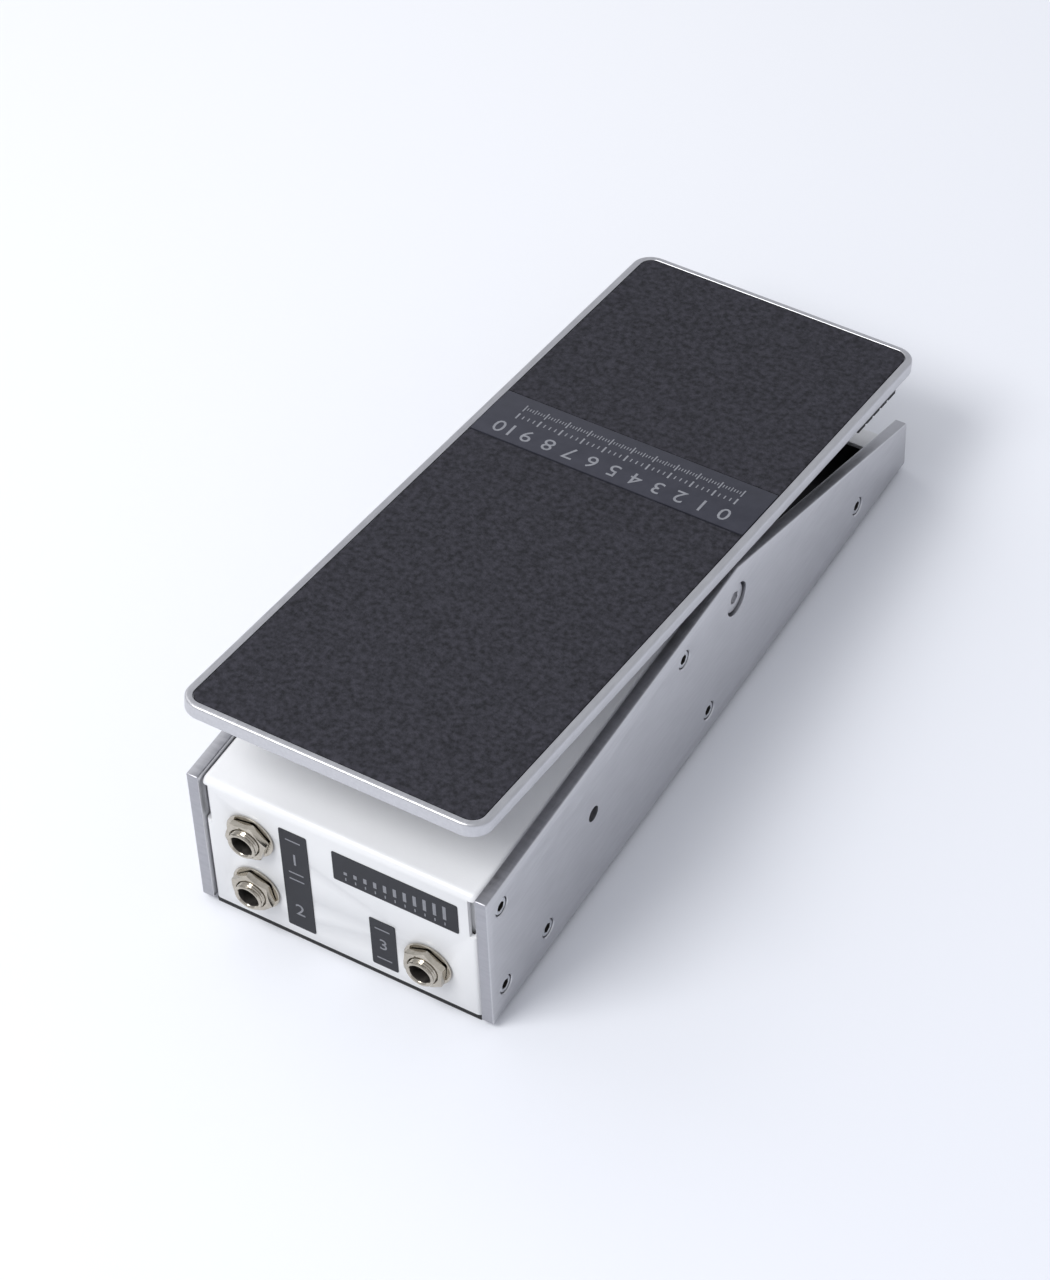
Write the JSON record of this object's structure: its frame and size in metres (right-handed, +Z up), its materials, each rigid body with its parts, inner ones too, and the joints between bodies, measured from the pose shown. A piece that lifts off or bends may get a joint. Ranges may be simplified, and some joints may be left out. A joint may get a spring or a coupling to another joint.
{
  "type": "volume pedal",
  "caption": "Foot-operated volume pedal: low aluminium chassis, tilting treadle with grip pads, geared potentiometer and jack sockets at the toe end.",
  "frame": {"origin": "centre of the footprint, on the floor", "axes": "+Z up, +Y from the toe end with the jacks towards the heel end, +X to the right of someone facing the jacks"},
  "size_m": [0.1, 0.27, 0.0887],
  "materials": {
    "black_plastic": "moulded",
    "black_screw": "black oxide, semi-gloss",
    "blue_plastic": "moulded",
    "brass": "machined",
    "dark_steel": "black oxide",
    "grey_wire": "extruded insulation",
    "grit": "gritty non-slip",
    "nickel": "nickel plated",
    "nylon": "natural nylon",
    "red_wire": "extruded insulation",
    "rubber": "matte",
    "satin_aluminium": "satin, bead blasted and clear anodised",
    "smooth_strip": "smooth",
    "white_paint": "smooth semi-gloss powder coat",
    "zinc_steel": "zinc plated"
  },
  "bodies": {
    "chassis": {"base_plate": "dark_steel", "front_cover": "white_paint", "heel_foot_strip": "rubber", "left_pivot_screw": "satin_aluminium", "left_side_plate": "satin_aluminium", "left_side_screw_1": "zinc_steel", "left_side_screw_2": "zinc_steel", "left_side_screw_3": "zinc_steel", "left_side_screw_4": "zinc_steel", "left_side_screw_5": "zinc_steel", "left_side_screw_6": "zinc_steel", "left_thrust_washer": "nylon", "lower_left_jack_body": "black_plastic", "lower_left_jack_bushing": "nickel", "lower_left_jack_nut": "nickel", "lower_left_jack_washer": "nickel", "pivot_shaft": "zinc_steel", "pot_body": "zinc_steel", "pot_bracket": "zinc_steel", "pot_lead": "grey_wire", "pot_nut": "nickel", "rear_cover": "white_paint", "right_jack_body": "black_plastic", "right_jack_bushing": "nickel", "right_jack_nut": "nickel", "right_jack_washer": "nickel", "right_pivot_screw": "satin_aluminium", "right_side_plate": "satin_aluminium", "right_side_screw_1": "zinc_steel", "right_side_screw_2": "zinc_steel", "right_side_screw_3": "zinc_steel", "right_side_screw_4": "zinc_steel", "right_side_screw_5": "zinc_steel", "right_side_screw_6": "zinc_steel", "right_thrust_washer": "nylon", "toe_foot_strip": "rubber", "trimmer_body": "blue_plastic", "trimmer_bracket": "zinc_steel", "trimmer_lead": "red_wire", "upper_left_jack_body": "black_plastic", "upper_left_jack_bushing": "nickel", "upper_left_jack_nut": "nickel", "upper_left_jack_washer": "nickel"},
    "treadle": {"treadle_plate": "satin_aluminium", "toe_grip_pad": "grit", "centre_strip": "smooth_strip", "heel_grip_pad": "grit", "treadle_yoke": "zinc_steel", "left_yoke_screw": "black_screw", "right_yoke_screw": "black_screw", "left_bush": "nylon", "right_bush": "nylon", "sector_gear": "satin_aluminium", "sector_screw_1": "black_screw", "sector_screw_2": "black_screw", "heel_bumper": "rubber", "toe_bumper": "rubber"},
    "pot_rotor": {"pot_shaft": "satin_aluminium", "pinion": "brass"},
    "trimmer": {"trimmer_rotor": "black_plastic"}
  },
  "joints": [
    {"name": "treadle_tilt", "type": "hinge", "parent": "chassis", "child": "treadle", "pos_m": [0, 0.01473, 0.0443], "axis": [1, 0, 0], "range_deg": [-8.8, 9.3]},
    {"name": "pot_spin", "type": "hinge", "parent": "chassis", "child": "pot_rotor", "pos_m": [0, -0.04234, 0.02576], "axis": [1, 0, 0], "range_deg": [-83.7, 79.2]},
    {"name": "trimmer_turn", "type": "hinge", "parent": "chassis", "child": "trimmer", "pos_m": [0, -0.07157, 0.0347], "axis": [1, 0, 0], "range_deg": [-135, 135]}
  ],
  "couplings": [
    {"joint": "pot_spin", "follows": "treadle_tilt", "ratio": -9}
  ]
}
